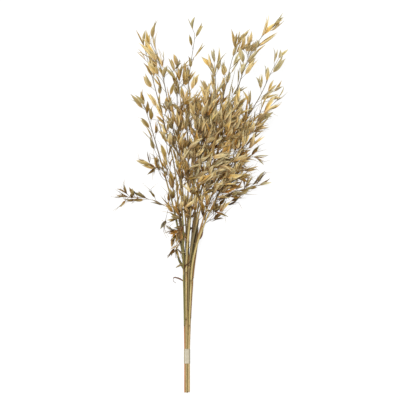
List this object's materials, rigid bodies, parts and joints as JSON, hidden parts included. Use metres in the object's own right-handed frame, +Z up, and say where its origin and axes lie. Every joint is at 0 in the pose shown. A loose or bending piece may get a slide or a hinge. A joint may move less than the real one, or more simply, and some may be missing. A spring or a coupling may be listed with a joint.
{
  "type": "dried oats bundle",
  "caption": "Dried oat stems with loose fanned heads of pointed spikelets, tied near their cut ends by a band of tape, lying flat.",
  "frame": {"origin": "on the surface that the bundle lies on, under the middle of the tape band", "axes": "+Y along the stems from the cut ends towards the heads, +Z up from the surface, +X to the right seen from above"},
  "size_m": [0.2959, 0.6454, 0.1055],
  "materials": {
    "dry_straw": "matte",
    "tape": "satin"
  },
  "bodies": {
    "root": {"oat_stem_01": "dry_straw", "oat_stem_02": "dry_straw", "oat_stem_03": "dry_straw", "oat_stem_04": "dry_straw", "oat_stem_05": "dry_straw", "oat_stem_06": "dry_straw", "oat_stem_07": "dry_straw", "oat_stem_08": "dry_straw", "oat_stem_09": "dry_straw", "oat_stem_10": "dry_straw", "oat_stem_11": "dry_straw", "oat_stem_12": "dry_straw", "tape_band": "tape"}
  },
  "joints": []
}
